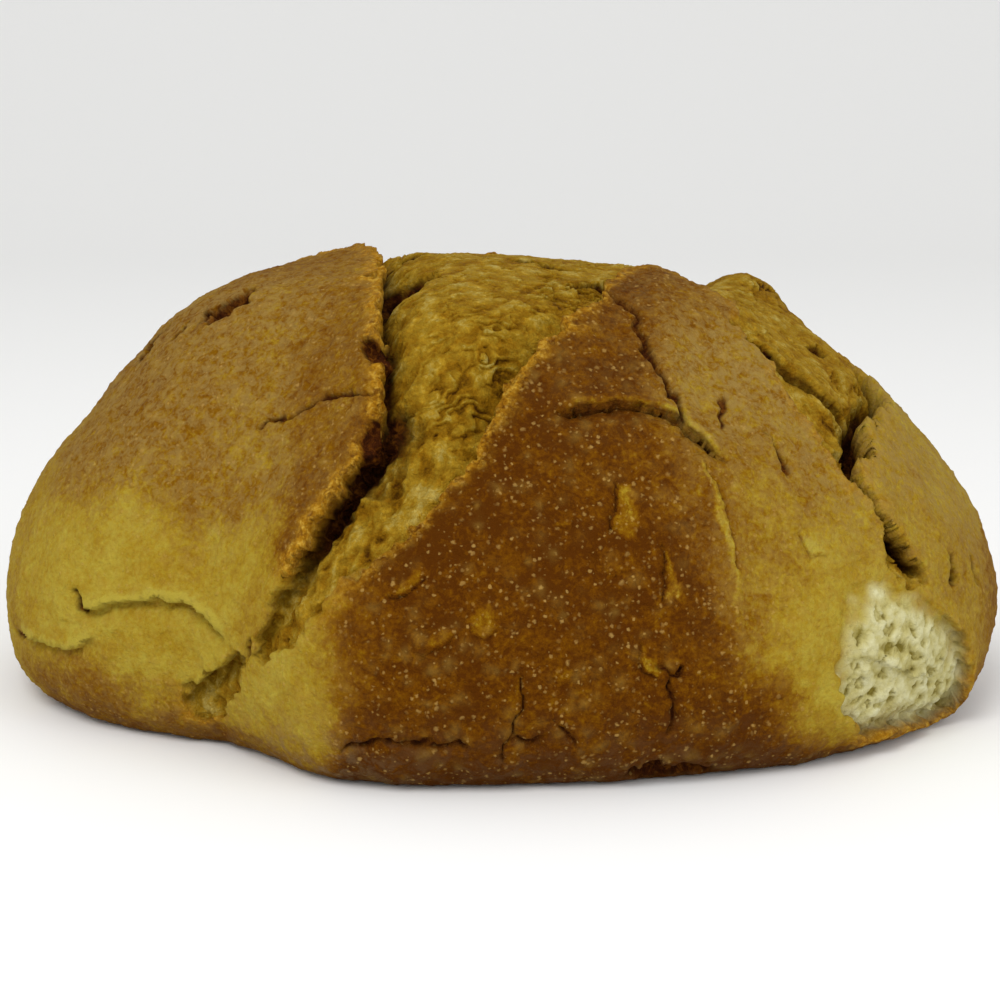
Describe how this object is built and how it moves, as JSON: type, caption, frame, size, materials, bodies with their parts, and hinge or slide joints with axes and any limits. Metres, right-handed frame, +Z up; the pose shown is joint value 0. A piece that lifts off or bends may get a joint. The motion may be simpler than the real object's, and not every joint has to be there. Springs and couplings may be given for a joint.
{
  "type": "semolina loaf",
  "caption": "Round hearth loaf of durum semolina bread, domed, with a crust that burst open along a cross cut; stands on its flat base.",
  "frame": {"origin": "middle of the loaf's box, on the surface that it stands on", "axes": "+Z up, +X along the loaf's longest width, -Y towards the side with the large front crust lobe"},
  "size_m": [0.299, 0.2546, 0.1322],
  "materials": {
    "baked_crust": "matte, lightly floured"
  },
  "bodies": {
    "root": {"loaf": "baked_crust"}
  },
  "joints": []
}
